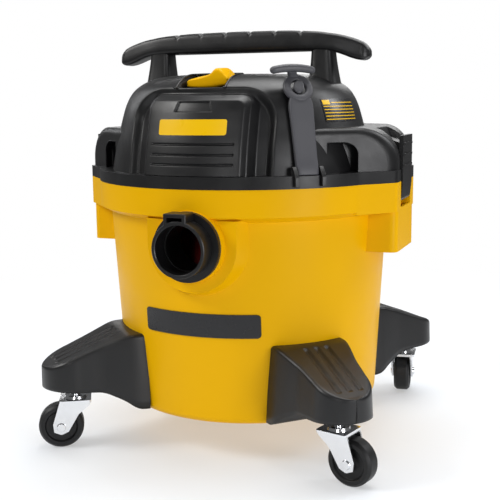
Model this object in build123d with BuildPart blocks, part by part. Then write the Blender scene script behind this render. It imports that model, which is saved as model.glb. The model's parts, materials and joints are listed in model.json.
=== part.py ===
from build123d import *

import math
import os

# A 23 litre wet and dry shop vacuum: drum on four casters, lift-off powerhead, two side latches.
# Millimetres, +Z up, the inlet faces -Y, and the origin is on the floor under the drum's axis.
# Each function makes one piece or one family of equal pieces and writes it to parts/.

os.makedirs("parts", exist_ok=True)

# driving dimensions: common
wall = 3.0                  # moulded wall of the drum and the covers
running_gap = 0.05          # radial clearance of a shaft in its hole
free_gap = 0.3              # gap between moving mouldings

# casters and feet
wheel_radius = 25.4
wheel_half_width = 10.0
caster_trail = 17.0         # wheel centre behind the swivel axis
fork_top = 57.0             # top of the fork's plate
stem_radius = 5.0
stem_circle = 220.0         # radius of the circle that holds the four stems
axle_radius = 3.2
leg_angles = {"front_left": 225, "front_right": 315, "rear_right": 45, "rear_left": 135}
trail_angles = {"front_left": 210, "front_right": 345, "rear_right": 97, "rear_left": 160}

# drum
drum_bottom = 42.0
drum_bottom_radius = 151.0
drum_neck_radius = 163.5    # wall radius just under the collar
collar_bottom = 268.0
drum_top = 300.0
collar_radius = 176.0

# inlet
port_height = 241.0
port_bore_radius = 25.5
port_outer_radius = 29.5
port_mouth = 203.0          # distance of the mouth from the drum's axis
port_inner_end = 143.0
port_stop = 180.0           # the hose end's seat; behind it the bore is 1 mm narrower
pad_face = 177.0            # flat face that the inlet is seated on

# latches and their housings
ear_face = 189.0            # outer face of the latch housings, from the axis
ear_half_width = 45.0
ear_bottom = 223.0
latch_half_width = 24.5
latch_pivot_x = 184.0
latch_pivot_z = 282.0
latch_pin_radius = 2.5
latch_top = 350.0
latch_slot_x = 177.5        # back of the slot that holds the latch
latch_lip = 271.0
ramp_foot = 326.0           # where the cover's ramp leaves the slot's back
ramp_slope = 62.0           # degrees from the horizontal

# powerhead
flange_top = 313.0          # top of the lid's rim band
flange_radius = 176.5
motor_y = -20.0             # axis of the dome, the motor and the filter
dome_top = 418.0
channel_depth = 9.0
arch_half = 81.0            # half width of the arch round the front panel
panel_half = 60.0
panel_top = 392.0
panel_proud = 4.0
handle_y = -22.0
handle_bottom = 443.0
handle_top = 467.0
rocker_pivot_z = 412.0
rocker_y = -104.0
rocker_tilt = 12.0
strap_angle = 41.5          # where the strap stands, from the front towards +X
strap_pivot_radius = 171.0
strap_pivot_z = 318.0
exhaust_height = 345.0

# filter and motor
cage_radius = 48.0
filter_radius = 66.0
filter_bottom = 172.0
float_radius = 22.0
shaft_radius = 4.0


def write(solid, node_name):
    """Labels a finished piece and writes it as parts/NODE.step."""
    solid.label = node_name
    export_step(solid, f"parts/{node_name}.step")


def sleeve(outer_radius, inner_radius, low, high, centre=(0, motor_y)):
    """A washer, disc or sleeve standing on the plane z = low."""
    with BuildPart() as made:
        with BuildSketch(Plane.XY.offset(low)):
            with Locations(centre):
                Circle(outer_radius)
                if inner_radius:
                    Circle(inner_radius, mode=Mode.SUBTRACT)
        extrude(amount=high - low)
    return made.part


def sleeve_y(outer_radius, inner_radius, front, back, x=0.0, z=port_height):
    """The same, lying along Y from y = front to y = back."""
    with BuildPart() as made:
        with BuildSketch(Plane.XZ.offset(-front)):
            with Locations((x, z)):
                Circle(outer_radius)
                if inner_radius:
                    Circle(inner_radius, mode=Mode.SUBTRACT)
        extrude(amount=front - back)
    return made.part


def radial_plane(angle):
    """Plane that holds the Z axis and the direction at this angle. Local x is radial, y is up."""
    turn = math.radians(angle)
    return Plane(
        origin=(0, 0, 0),
        x_dir=(math.cos(turn), math.sin(turn), 0),
        z_dir=(math.sin(turn), -math.cos(turn), 0),
    )


def facing_plane(angle, distance):
    """Plane across the direction at this angle. Local x is sideways, y is up, z is outward."""
    turn = math.radians(angle)
    outward = Vector(math.cos(turn), math.sin(turn), 0)
    return Plane(
        origin=outward * distance,
        x_dir=(-math.sin(turn), math.cos(turn), 0),
        z_dir=outward,
    )


# drum ------------------------------------------------------------------------------------------
def drum_form(skin, top=drum_top):
    """The drum's solid outer form, moved out by skin (in, where skin is negative)."""
    low = drum_bottom - skin
    with BuildPart() as form:
        with BuildSketch(Plane.XZ):
            with BuildLine():
                Polyline(
                    (0, low),
                    (drum_bottom_radius + skin, low),
                    (drum_neck_radius + skin, collar_bottom - 3 - skin),
                    (collar_radius + skin, collar_bottom + 3 - skin),
                    (collar_radius + skin, top),
                    (0, top),
                    close=True,
                )
            make_face()
        revolve(axis=Axis.Z)
        fillet(form.edges().filter_by(GeomType.CIRCLE).sort_by(Axis.Z)[0], 9 + skin)
    return form.part


def ear_plan(side, inset, reach, half):
    """Plan of a latch housing: straight sides at half, flaring to reach at the collar."""
    face = ear_face - inset
    with BuildSketch() as plan:
        with BuildLine():
            Polyline(
                (side * 140, -reach), (side * 154, -reach), (side * face, -half),
                (side * face, half), (side * 154, reach), (side * 140, reach), close=True,
            )
        make_face()
        fillet([v for v in plan.vertices() if abs(abs(v.X) - face) < 0.1], 9)
    return plan.sketch


def ear_form(side, inset):
    """One latch housing: a box below, and a flare from the collar above. Inset makes its hollow."""
    half = ear_half_width - inset
    with BuildPart() as form:
        with BuildSketch(Plane.XY.offset(ear_bottom + inset)):
            add(ear_plan(side, inset, half, half))
        extrude(amount=drum_top - ear_bottom - inset - inset)
        with BuildSketch(Plane.XY.offset(collar_bottom + inset)):
            add(ear_plan(side, inset, 84 - inset, half))
        extrude(amount=drum_top - collar_bottom - inset - inset)
    return form.part


def latch_slot(side, grow, half=latch_half_width + 1):
    """The space that a latch stands in. Grow adds the moulded wall round it."""
    back = latch_slot_x - grow
    rise = 60
    ramp_top = back - rise / math.tan(math.radians(ramp_slope))
    with BuildPart() as form:
        with BuildSketch(Plane.XZ):
            with BuildLine():
                Polyline(
                    (side * back, latch_lip - 6 - grow),
                    (side * (ear_face - 3 + grow), latch_lip - 6 - grow),
                    (side * (ear_face - 3 + grow), latch_lip),
                    (side * (ear_face + 20), latch_lip),
                    (side * (ear_face + 20), ramp_foot + rise),
                    (side * ramp_top, ramp_foot + rise),
                    (side * back, ramp_foot),
                    close=True,
                )
            make_face()
        extrude(amount=half + grow, both=True)
    return form.part


def ear_hollow(side):
    """The air inside one housing: its inset form, less the drum and the walls of the latch slot."""
    with BuildPart() as hollow:
        add(ear_form(side, wall))
        add(drum_form(0.01, drum_top + 1), mode=Mode.SUBTRACT)
        add(latch_slot(side, wall), mode=Mode.SUBTRACT)
    return hollow.part


def inlet_pad():
    """The raised apron round the inlet, drafted towards its face."""
    with BuildPart() as pad:
        with BuildSketch(Plane.XZ.offset(146)):
            with Locations((0, port_height)):
                Circle(60)
            with Locations((0, port_height + 30)):
                Rectangle(120, 60)
        extrude(amount=23, taper=22)
        with BuildSketch(Plane.XY.offset(collar_bottom)):
            Rectangle(400, 400)
        extrude(amount=80, mode=Mode.SUBTRACT)
    return pad.part


def foot_screw_spots():
    """Angle, inner wall radius and height of each screw that holds a foot to the drum."""
    spots = []
    slope = (drum_neck_radius - drum_bottom_radius) / (collar_bottom - 3 - drum_bottom)
    for angle in leg_angles.values():
        for height in (74.0, 110.0):
            inner = drum_bottom_radius + slope * (height - drum_bottom) - wall
            spots.append((angle, inner, height))
    return spots


def foot_screw(angle, inner, height):
    """A pan-head screw that points outward from the drum's inside wall."""
    with BuildPart() as screw:
        with BuildSketch(facing_plane(angle, inner - 3.4)):
            with Locations((0, height)):
                Circle(4.5)
        extrude(amount=2.6)
        with BuildSketch(facing_plane(angle, inner - 3.4)):
            with Locations((0, height)):
                Circle(2)
        extrude(amount=19)
    return screw.part


def make_tank_shell():
    with BuildPart() as tank_shell:
        add(drum_form(0))
        add(inlet_pad())
        with BuildSketch(Plane.XZ.offset(150)):
            with Locations((0, port_height)):
                Circle(41)
        extrude(amount=pad_face - 150, taper=8)
        for side in (-1, 1):
            add(ear_form(side, 0))
        add(drum_form(-wall, drum_top + 5), mode=Mode.SUBTRACT)
        for side in (-1, 1):
            add(ear_hollow(side), mode=Mode.SUBTRACT)
            add(latch_slot(side, 0), mode=Mode.SUBTRACT)
            pin_hole = sleeve_y(latch_pin_radius, 0, -28.3, 28.3, side * latch_pivot_x, latch_pivot_z)
            add(pin_hole, mode=Mode.SUBTRACT)
        add(sleeve_y(port_outer_radius, 0, -190, -120), mode=Mode.SUBTRACT)
        for angle, inner, height in foot_screw_spots():
            with BuildSketch(facing_plane(angle, inner - 6)):
                with Locations((0, height)):
                    Circle(2)
            extrude(amount=20, mode=Mode.SUBTRACT)
    write(tank_shell.part, "tank_shell")


def make_inlet():
    with BuildPart() as inlet_port:
        add(sleeve_y(port_outer_radius, 0, -port_mouth, -port_inner_end))
        add(sleeve_y(37, 0, -pad_face - 6, -pad_face - 2))
        with BuildSketch(Plane.XZ.offset(pad_face + 6)):
            with Locations((-3, port_height + port_outer_radius + 1)):
                RectangleRounded(25, 13, 1.5)
                Rectangle(17, 5, mode=Mode.SUBTRACT)
        extrude(amount=port_mouth - pad_face - 6)
        add(sleeve_y(port_bore_radius, 0, -250, -port_stop), mode=Mode.SUBTRACT)
        add(sleeve_y(port_bore_radius - 1, 0, -port_stop, -100), mode=Mode.SUBTRACT)
        chamfer(inlet_port.edges().filter_by(GeomType.CIRCLE).group_by(Axis.Y)[0], 0.8)
    write(inlet_port.part, "inlet_port")
    write(sleeve_y(37, port_outer_radius, -pad_face - 2, -pad_face), "inlet_gasket")
    write(sleeve_y(37, port_outer_radius, -154, -146), "inlet_lock_ring")


def make_drum_badge():
    with BuildPart() as drum_badge:
        add(drum_form(1.0))
        add(drum_form(0), mode=Mode.SUBTRACT)
        with BuildSketch(Plane.XZ.offset(100)):
            with Locations((0, 153.5)):
                RectangleRounded(134, 26, 4)
        extrude(amount=100, mode=Mode.INTERSECT)
    write(drum_badge.part, "drum_badge")


# feet and casters --------------------------------------------------------------------------------
def foot_form(angle, inset):
    """A foot's outer form: its side outline drawn through, cut to a tapering plan."""
    low, drop = 46 - 20 * (inset > 0), inset * 1.1
    with BuildPart() as form:
        with BuildSketch(radial_plane(angle)):
            with BuildLine():
                Polyline(
                    (135, 132 - drop), (166, 132 - drop), (196, 121 - drop), (236, 106 - drop),
                    (250 - inset, 99 - drop), (256 - inset, 90), (257 - inset, 78), (254 - inset, 73),
                    (228, 71 - 2 * drop), (196, 69 - 2 * drop), (174, 58 - 2 * drop), (160, low),
                    (135, low), close=True,
                )
            make_face()
        extrude(amount=60, both=True)
    with BuildPart() as plan_form:
        for height, draft in ((38, 0), (138, 5)):
            side = inset + draft
            with BuildSketch(Plane.XY.offset(height)) as plan:
                with BuildLine():
                    Polyline(
                        (130, -48 + side), (160, -48 + side), (196, -37 + side), (225, -33 + side),
                        (257 - side, -33 + side), (257 - side, 33 - side), (225, 33 - side),
                        (196, 37 - side), (160, 48 - side), (130, 48 - side), close=True,
                    )
                make_face()
                fillet([v for v in plan.vertices() if v.X > 245], 24 - inset)
        loft()
    turned = plan_form.part.rotate(Axis.Z, angle)
    with BuildPart() as cut:
        add(form.part)
        add(turned, mode=Mode.INTERSECT)
    return cut.part


def make_feet():
    sockets = []
    for corner, angle in leg_angles.items():
        stem = Vector(stem_circle, 0, 0).rotate(Axis.Z, angle)
        spot = (stem.X, stem.Y)
        with BuildPart() as hollow:
            add(foot_form(angle, wall))
            add(sleeve(13, 0, 20, 200, spot), mode=Mode.SUBTRACT)
        with BuildPart() as foot:
            add(foot_form(angle, 0))
            for offset in (-12, 0, 12):
                with BuildSketch(radial_plane(angle).offset(offset)):
                    with BuildLine():
                        Polyline(
                            (172, 127), (196, 120.9), (236, 105.9), (246, 100), (246, 104),
                            (236, 107.6), (196, 122.6), (172, 131), close=True,
                        )
                    make_face()
                extrude(amount=1.6, both=True)
            add(hollow.part, mode=Mode.SUBTRACT)
            add(drum_form(0), mode=Mode.SUBTRACT)
            add(sleeve(7.5, 0, 40, 100, spot), mode=Mode.SUBTRACT)
            for screw_angle, inner, height in foot_screw_spots():
                if screw_angle == angle:
                    add(foot_screw(screw_angle, inner, height), mode=Mode.SUBTRACT)
        write(foot.part, f"foot_{corner}")
        sockets.append(sleeve(7.5, stem_radius + running_gap, 62, 100, spot))
    write(Compound(sockets), "stem_sockets")
    write(Compound([foot_screw(*spot) for spot in foot_screw_spots()]), "foot_screws")


def caster_fork():
    """Plate, two legs, swivel race and stem. The stem's axis is Z and the wheel trails along +X."""
    leg = (wheel_half_width + 1.6, wheel_half_width + 3.8)
    with BuildPart() as fork:
        with BuildSketch(Plane.XZ) as side_view:
            with BuildLine():
                Polyline(
                    (-17, fork_top), (17, fork_top), (19, 51), (26, 29), (25, 20), (17, 16.5),
                    (9, 20), (-3, 40), (-15, 50), (-17, 53), close=True,
                )
            make_face()
            fillet(side_view.vertices().group_by(Axis.Y)[0], 4)
        extrude(amount=leg[1], both=True)
        with BuildSketch(Plane.YZ.offset(-40)):
            with Locations((0, 27)):
                Rectangle(2 * leg[0], 54)
        extrude(amount=80, mode=Mode.SUBTRACT)
        with BuildSketch(Plane.XY.offset(fork_top - 3)):
            RectangleRounded(35, 35, 3)
        extrude(amount=3)
        with BuildSketch(Plane.XY.offset(fork_top)):
            Circle(13)
        extrude(amount=3, taper=20)
        with BuildSketch(Plane.XY.offset(fork_top)):
            Circle(stem_radius)
        extrude(amount=40)
        with BuildSketch(Plane.XZ.offset(-30)):
            with Locations((caster_trail, wheel_radius)):
                Circle(axle_radius)
        extrude(amount=60, mode=Mode.SUBTRACT)
    return fork.part


def caster_axle():
    """A riveted axle with two domed heads."""
    half = wheel_half_width + 3.8
    with BuildPart() as axle:
        with BuildSketch(Plane.XZ) as _:
            with Locations((caster_trail, wheel_radius)):
                Circle(axle_radius)
        extrude(amount=half, both=True)
        for side in (-1, 1):
            with BuildSketch(Plane.XZ.offset(side * half)):
                with Locations((caster_trail, wheel_radius)):
                    Circle(5.2)
            extrude(amount=side * 1.8, taper=25)
    return axle.part


def caster_wheel():
    """A moulded wheel with a rounded tread, a dished web and a hub."""
    half = wheel_half_width
    with BuildPart() as wheel:
        with BuildSketch(Plane.XY):
            with BuildLine():
                Polyline(
                    (axle_radius + running_gap, -half - 1.2), (8, -half - 1.2), (9, -half + 3),
                    (17, -half + 3), (18.5, -half), (wheel_radius - 3, -half),
                    (wheel_radius, -half + 3.5), (wheel_radius, half - 3.5), (wheel_radius - 3, half),
                    (18.5, half), (17, half - 3), (9, half - 3), (8, half + 1.2),
                    (axle_radius + running_gap, half + 1.2), close=True,
                )
            make_face()
        revolve(axis=Axis.Y)
    return wheel.part.moved(Location((caster_trail, 0, wheel_radius)))


def make_casters():
    for corner, angle in leg_angles.items():
        stem = Vector(stem_circle, 0, 0).rotate(Axis.Z, angle)
        spot = Location((stem.X, stem.Y, 0)) * Location((0, 0, 0), (0, 0, trail_angles[corner]))
        write(caster_fork().moved(spot), f"caster_fork_{corner}")
        write(caster_axle().moved(spot), f"caster_axle_{corner}")
        write(caster_wheel().moved(spot), f"caster_wheel_{corner}")


# latches ---------------------------------------------------------------------------------------
def make_latches():
    pins = []
    lean = math.tan(math.radians(90 - ramp_slope))
    for side, name in ((-1, "latch_left"), (1, "latch_right")):
        half = latch_half_width
        nose = latch_slot_x + 0.5
        with BuildPart() as latch:
            with BuildSketch(Plane.XZ):
                with BuildLine():
                    Polyline(
                        (side * (latch_pivot_x - 1), latch_pivot_z), (side * 189, latch_pivot_z),
                        (side * 190.5, 296), (side * 190.5, latch_top), (side * 186, latch_top),
                        (side * 185.5, 300), (side * 180, 288), close=True,
                    )
                make_face()
                with Locations((side * latch_pivot_x, latch_pivot_z)):
                    Circle(5)
            extrude(amount=half, both=True)
            with BuildSketch(Plane.XZ):
                with BuildLine():
                    Polyline(
                        (side * 187, 288), (side * (nose + 1.2), 288), (side * nose, 300),
                        (side * nose, ramp_foot), (side * (nose - 19 * lean), ramp_foot + 19),
                        (side * (nose - 17 * lean), ramp_foot + 21), (side * 187, 341), close=True,
                    )
                make_face()
            extrude(amount=16, both=True)
            for height in (317, 329, 341):
                with BuildSketch(Plane.YZ.offset(side * 190)):
                    with Locations((0, height)):
                        RectangleRounded(38, 2.6, 1)
                extrude(amount=side * 2)
            bore = sleeve_y(
                latch_pin_radius + running_gap, 0, -40, 40, side * latch_pivot_x, latch_pivot_z
            )
            add(bore, mode=Mode.SUBTRACT)
        write(latch.part, name)
        pins.append(sleeve_y(latch_pin_radius, 0, -28.3, 28.3, side * latch_pivot_x, latch_pivot_z))
    write(Compound(pins), "latch_pins")


# powerhead ---------------------------------------------------------------------------------------
def dome_form(skin):
    """The motor cover's solid form, moved out by skin (in, where skin is negative)."""
    with BuildPart() as form:
        with BuildSketch(Plane.XZ):
            with BuildLine():
                Line((0, flange_top), (151 + skin, flange_top))
                Spline(
                    (151 + skin, flange_top), (147 + skin, 335), (141 + skin, 360),
                    (134 + skin, 384 + 0.3 * skin), (124 + 0.9 * skin, 401 + 0.6 * skin),
                    (103 + 0.6 * skin, 413.5 + skin), (70, dome_top + skin),
                    tangents=[(-0.16, 1), (-1, 0)],
                )
                Line((70, dome_top + skin), (0, dome_top + skin))
                Line((0, dome_top + skin), (0, flange_top))
            make_face()
        revolve(axis=Axis.Z)
    return form.part.moved(Location((0, motor_y, 0)))


def front_outline(grow, half_low, half_high, top, corner):
    """The arch on the dome's front, drawn on the XZ plane."""
    with BuildSketch(Plane.XZ.offset(60)) as outline:
        with BuildLine():
            Polyline(
                (-half_low - grow, 280), (-half_high - grow, top + grow),
                (half_high + grow, top + grow), (half_low + grow, 280), close=True,
            )
        make_face()
        fillet([v for v in outline.vertices() if v.Z > 300], corner + 0.5 * grow)
    return outline.sketch


def channel(grow):
    """The arched groove round the front panel. Grow adds its moulded wall."""
    with BuildPart() as groove:
        with BuildSketch(Plane.XZ.offset(60)):
            add(front_outline(grow, arch_half, arch_half, 400, 34))
            add(front_outline(-grow, panel_half, panel_half, panel_top, 14), mode=Mode.SUBTRACT)
        extrude(amount=150)
        add(dome_form(-channel_depth - grow), mode=Mode.SUBTRACT)
    return groove.part


def rocker_pocket(grow):
    """The open-fronted recess that the rocker sits in."""
    with BuildPart() as pocket:
        with Locations((0, rocker_y - 15.5, 403 + 30 - grow)):
            Box(56 + 2 * grow, 69 + 2 * grow, 60)
    return pocket.part


def cover_ear(side, inset):
    """The quarter-round shoulder over a latch housing. Its ends slant in to meet the dome."""
    half = ear_half_width - 2 - 1.33 * inset
    outer = ear_face - 1
    with BuildPart() as ear:
        with BuildSketch(Plane.XZ):
            with BuildLine():
                start = (side * (ear_face - 1 - inset), 321)
                corner_point = (side * 149, 360 - inset)
                middle = (side * (149 + (39 - inset) * 0.7071), 321 + (39 - inset) * 0.7071)
                ThreePointArc(start, middle, corner_point)
                Line(corner_point, (side * 110, 360 - inset))
                Line((side * 110, 360 - inset), (side * 110, flange_top))
                Line((side * 110, flange_top), (side * (ear_face - 1 - inset), flange_top))
                Line((side * (ear_face - 1 - inset), flange_top), start)
            make_face()
        extrude(amount=120, both=True)
        with BuildSketch(Plane.XY.offset(300)):
            with BuildLine():
                Polyline(
                    (side * outer, -half), (side * 110, -half - 0.87 * (outer - 110)),
                    (side * 110, half + 0.47 * (outer - 110)), (side * outer, half), close=True,
                )
            make_face()
        extrude(amount=80, mode=Mode.INTERSECT)
    return ear.part


def ear_pocket(side, grow):
    """The dark recess in the shoulder's front and rear faces."""
    with BuildPart() as pocket:
        with BuildSketch(Plane.XZ.offset(120)):
            with Locations((side * 136.5, 330)):
                RectangleRounded(25 + 2 * grow, 27 + 2 * grow, 5)
        extrude(amount=-(52 + grow))
        with BuildSketch(Plane.XZ.offset(-120)):
            with Locations((side * 136.5, 330)):
                RectangleRounded(25 + 2 * grow, 27 + 2 * grow, 5)
        extrude(amount=66 + grow)
        add(dome_form(0), mode=Mode.SUBTRACT)
    return pocket.part


def cover_screw_spots():
    return [(x, motor_y + y) for x in (-102, 102) for y in (-97, 97)]


def handle_screw_spots():
    return [(x, handle_y + y) for x in (-99, 99) for y in (-9, 9)]


def strap_frame():
    """The strap's own planes: its side view, and the plane across it."""
    angle = strap_angle - 90
    return radial_plane(angle), angle


def peg_form(grow):
    """The post that the strap's ring hooks over, leaning up along the ring's path."""
    side_plane, angle = strap_frame()
    start = side_plane.from_local_coords(Vector(135.5, 394, 0))
    tip = side_plane.from_local_coords(Vector(135.5 + 0.943, 394 + 0.33, 0))
    with BuildPart() as peg:
        with BuildSketch(Plane(origin=start, z_dir=tip - start)):
            Circle(6.5 + grow)
        extrude(amount=17, taper=4)
    return peg.part


def cover_ear_hollow(side):
    """The air inside one shoulder, less the walls of its latch slot and pockets."""
    with BuildPart() as hollow:
        add(cover_ear(side, wall))
        add(dome_form(-0.5 * wall), mode=Mode.SUBTRACT)
        add(latch_slot(side, wall), mode=Mode.SUBTRACT)
        add(ear_pocket(side, wall), mode=Mode.SUBTRACT)
    return hollow.part


def make_motor_cover():
    with BuildPart() as cavity:
        add(dome_form(-wall))
        add(channel(wall), mode=Mode.SUBTRACT)
        add(rocker_pocket(wall), mode=Mode.SUBTRACT)
    with BuildPart() as motor_cover:
        add(dome_form(0))
        for side in (-1, 1):
            add(cover_ear(side, 0))
        add(channel(0), mode=Mode.SUBTRACT)
        add(rocker_pocket(0), mode=Mode.SUBTRACT)
        add(cavity.part, mode=Mode.SUBTRACT)
        for side in (-1, 1):
            add(cover_ear_hollow(side), mode=Mode.SUBTRACT)
            add(latch_slot(side, 0), mode=Mode.SUBTRACT)
            add(ear_pocket(side, 0), mode=Mode.SUBTRACT)
        for spot in cover_screw_spots():
            add(sleeve(6, 0, flange_top, 334, spot))
            add(sleeve(2, 0, flange_top, 330, spot), mode=Mode.SUBTRACT)
        for spot in handle_screw_spots():
            add(sleeve(2, 0, 395, 440, spot), mode=Mode.SUBTRACT)
        add(peg_form(0))
        add(sleeve_y(port_outer_radius, 0, 60, 200, 0, exhaust_height), mode=Mode.SUBTRACT)
        add(sleeve_y(7, 0, 60, 200, -72, 362), mode=Mode.SUBTRACT)
    write(motor_cover.part, "motor_cover")


def panel_recesses():
    """Three slots and a trapezoid sunk into the front panel's face."""
    with BuildPart() as recesses:
        for height in (325, 335, 345.5):
            with BuildSketch(Plane.XZ.offset(60)):
                with Locations((0, height)):
                    RectangleRounded(92, 2.6, 1.2)
            extrude(amount=150)
        with BuildSketch(Plane.XZ.offset(60)):
            with BuildLine():
                Polyline((-21, 378.5), (-17, 389.5), (17, 389.5), (21, 378.5), close=True)
            make_face()
        extrude(amount=150)
        add(dome_form(panel_proud - 1.8), mode=Mode.SUBTRACT)
    return recesses.part


def make_front_panel():
    with BuildPart() as front_panel:
        add(dome_form(panel_proud))
        add(dome_form(0), mode=Mode.SUBTRACT)
        with BuildSketch(Plane.XZ.offset(60)):
            add(front_outline(-0.4, panel_half, panel_half, panel_top, 14))
        extrude(amount=150, mode=Mode.INTERSECT)
        add(panel_recesses(), mode=Mode.SUBTRACT)
    write(front_panel.part, "front_panel")
    with BuildPart() as cover_badge:
        add(dome_form(panel_proud + 1))
        add(dome_form(panel_proud), mode=Mode.SUBTRACT)
        with BuildSketch(Plane.XZ.offset(60)):
            with Locations((0, 363)):
                RectangleRounded(76, 16, 2.5)
        extrude(amount=150, mode=Mode.INTERSECT)
    write(cover_badge.part, "cover_badge")
    label_plane = facing_plane(-17, 60)
    with BuildPart() as cover_label:
        add(dome_form(0.5))
        add(dome_form(0), mode=Mode.SUBTRACT)
        with BuildSketch(label_plane):
            with Locations((0, 378)):
                RectangleRounded(60, 24, 2)
        extrude(amount=150, mode=Mode.INTERSECT)
    write(cover_label.part, "cover_label")


def lid_ear_hollow(side):
    """The air under the lid's rim at one latch housing, less the walls of the latch slot."""
    with BuildPart() as hollow:
        with BuildSketch(Plane.XY.offset(drum_top)):
            add(ear_plan(side, wall, 84 - wall, ear_half_width - wall))
        extrude(amount=flange_top - drum_top - 4)
        add(sleeve(flange_radius, 0, 200, 400, (0, 0)), mode=Mode.SUBTRACT)
        add(latch_slot(side, wall), mode=Mode.SUBTRACT)
    return hollow.part


def make_lid_base():
    with BuildPart() as lid_base:
        with BuildSketch(Plane.XY.offset(drum_top)):
            Circle(flange_radius)
            for side in (-1, 1):
                add(ear_plan(side, 0, 84, ear_half_width))
        extrude(amount=flange_top - drum_top)
        with BuildSketch(Plane.XY.offset(drum_top)):
            Circle(flange_radius - wall - 0.5)
        extrude(amount=flange_top - drum_top - 4, mode=Mode.SUBTRACT)
        for side in (-1, 1):
            add(lid_ear_hollow(side), mode=Mode.SUBTRACT)
            add(latch_slot(side, 0), mode=Mode.SUBTRACT)
        add(sleeve(171, 168, 286, flange_top - 1, (0, 0)))
        add(sleeve(cage_radius + 3, cage_radius + free_gap - 0.3, 301, flange_top - 2))
        add(sleeve(18, 0, 250, 400), mode=Mode.SUBTRACT)
        for spot in cover_screw_spots():
            add(sleeve(2, 0, 300, 320, spot), mode=Mode.SUBTRACT)
    write(lid_base.part, "lid_base")
    write(sleeve(172.6, 171, 288, 296, (0, 0)), "rim_seal")
    screws = []
    for spot in cover_screw_spots():
        with BuildPart() as screw:
            add(sleeve(4.5, 0, 306, 309, spot))
            add(sleeve(2, 0, 306, 329, spot))
        screws.append(screw.part)
    write(Compound(screws), "cover_screws")


def make_handle():
    with BuildPart() as carry_handle:
        with BuildSketch(Plane.XZ.offset(-handle_y)):
            with BuildLine() as outline:
                Polyline(
                    (0, 467), (60, 466.4), (95, 463.5), (120, 458), (138, 451.5), (150, 445),
                    (153, 440), (149, 434.5), (143, 433.5), (134, 435), (122, 439.5), (112, 442),
                    (90, handle_bottom), (0, handle_bottom),
                )
                mirror(about=Plane.YZ)
            make_face()
        extrude(amount=15, both=True)
        long_edges = [
            e for e in carry_handle.edges() if abs(abs(e.center().Y - handle_y) - 15) < 0.01
        ]
        chamfer(long_edges, 3.5)
        for index in range(6):
            with Locations((-75 + 30 * index, handle_y, 467.5)):
                Box(3, 40, 3.4, rotation=(0, 0, 0), mode=Mode.SUBTRACT)
        for side in (-1, 1):
            with BuildSketch(Plane.XY.offset(handle_bottom + 8)):
                with Locations((side * 99, handle_y)):
                    RectangleRounded(25, 27, 5)
            with BuildSketch(Plane.XY.offset(396)):
                with Locations((side * 101, handle_y)):
                    RectangleRounded(36, 42, 6)
            loft()
        add(dome_form(0), mode=Mode.SUBTRACT)
        for spot in handle_screw_spots():
            add(sleeve(2, 0, 395, 436, spot), mode=Mode.SUBTRACT)
    write(carry_handle.part, "carry_handle")
    screws = []
    for spot in handle_screw_spots():
        with BuildPart() as screw:
            add(sleeve(4, 0, 403, 406, spot))
            add(sleeve(2, 0, 403, 435, spot))
        screws.append(screw.part)
    write(Compound(screws), "handle_screws")


def make_rocker():
    with BuildPart() as rocker_switch:
        with BuildSketch(Plane.XZ.offset(-rocker_y)) as outline:
            with BuildLine():
                Polyline(
                    (-24.5, -3.4), (-24.5, 1), (2, 6), (11, 10.3), (15, 9.8), (24.2, -0.5), (24.2, -3.4),
                    (0, -5.3), close=True,
                )
            make_face()
            fillet([v for v in outline.vertices() if v.X > 10 and v.Z > 8], 1)
            fillet([v for v in outline.vertices() if v.X < -15], 1.6)
        extrude(amount=14, both=True)
        add(sleeve_y(2 + running_gap, 0, -200, -50, 0, 0), mode=Mode.SUBTRACT)
    tilted = rocker_switch.part.rotate(Axis.Y, -rocker_tilt).moved(Location((0, 0, rocker_pivot_z)))
    write(tilted, "rocker_switch")
    with BuildPart() as switch_frame:
        for offset in (-15.6, 15.6):
            with Locations((0, rocker_y + offset, 410)):
                Box(12, 2, 14)
        add(sleeve_y(2, 0, -200, -50, 0, rocker_pivot_z), mode=Mode.SUBTRACT)
    write(switch_frame.part, "switch_frame")
    write(sleeve_y(2, 0, rocker_y - 16.6, rocker_y + 16.6, 0, rocker_pivot_z), "switch_pin")


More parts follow.
